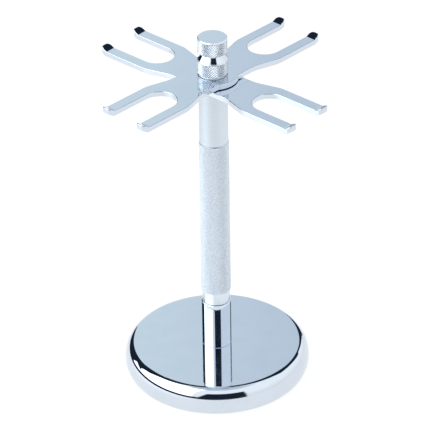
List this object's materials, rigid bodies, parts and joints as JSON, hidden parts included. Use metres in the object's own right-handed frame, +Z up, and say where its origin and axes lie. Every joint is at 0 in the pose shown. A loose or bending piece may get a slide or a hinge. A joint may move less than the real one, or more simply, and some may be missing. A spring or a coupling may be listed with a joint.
{
  "type": "shaving brush and razor stand",
  "caption": "Free-standing chrome stand for shaving brushes and razors: weighted round base, knurled post and two crossed double-ended forks that swivel under a knob.",
  "frame": {"origin": "centre of the base's underside, on the table", "axes": "+Z up along the post; +X to the right and -Y towards the viewer"},
  "size_m": [0.095, 0.0928, 0.1671],
  "materials": {
    "polished_chrome": "mirror-polished chrome plate",
    "fork_chrome": "bright chrome plate on flat sheet",
    "satin_chrome": "satin chrome, lightly brushed round the post",
    "knurled_satin": "satin chrome with a fine diamond knurl",
    "knurled_chrome": "chrome with a coarse diamond knurl and polished faces",
    "iron": "turned grey iron",
    "foam": "closed-cell foam sheet",
    "zinc_steel": "bright zinc-plated steel",
    "nylon": "thin dark nylon"
  },
  "bodies": {
    "root": {"base_shell": "polished_chrome", "base_weight": "iron", "base_pad": "foam", "base_flat_washer": "zinc_steel", "base_lock_washer": "zinc_steel", "base_screw": "zinc_steel", "lower_post": "polished_chrome", "lower_stud": "zinc_steel", "grip": "knurled_satin", "upper_stud": "zinc_steel", "upper_post": "satin_chrome", "pivot_stud": "zinc_steel", "post_washer": "nylon"},
    "lower_fork": {"lower_fork": "fork_chrome", "middle_washer": "nylon"},
    "upper_fork": {"upper_fork": "fork_chrome", "top_washer": "nylon"},
    "collar": {"collar": "knurled_chrome"},
    "knob_washer": {"knob_washer": "nylon"},
    "knob": {"knob": "knurled_chrome"}
  },
  "joints": [
    {"name": "lower_fork_swivel", "type": "hinge", "parent": "root", "child": "lower_fork", "pos_m": [0, 0, 0.1458], "axis": [0, 0, 1], "continuous": true},
    {"name": "upper_fork_swivel", "type": "hinge", "parent": "lower_fork", "child": "upper_fork", "pos_m": [0, 0, 0.14855], "axis": [0, 0, 1], "range_deg": [-60, 64]},
    {"name": "collar_turn", "type": "hinge", "parent": "root", "child": "collar", "pos_m": [0, 0, 0.1535], "axis": [0, 0, 1], "continuous": true},
    {"name": "knob_rise", "type": "slide", "parent": "root", "child": "knob_washer", "axis": [0, 0, 1], "range_m": [0, 0.0046]},
    {"name": "knob_turn", "type": "hinge", "parent": "knob_washer", "child": "knob", "pos_m": [0, 0, 0.1638], "axis": [0, 0, 1], "range_deg": [0, 1620]}
  ],
  "couplings": [
    {"joint": "knob_rise", "follows": "knob_turn", "m_per_rad": 0.00015915}
  ]
}
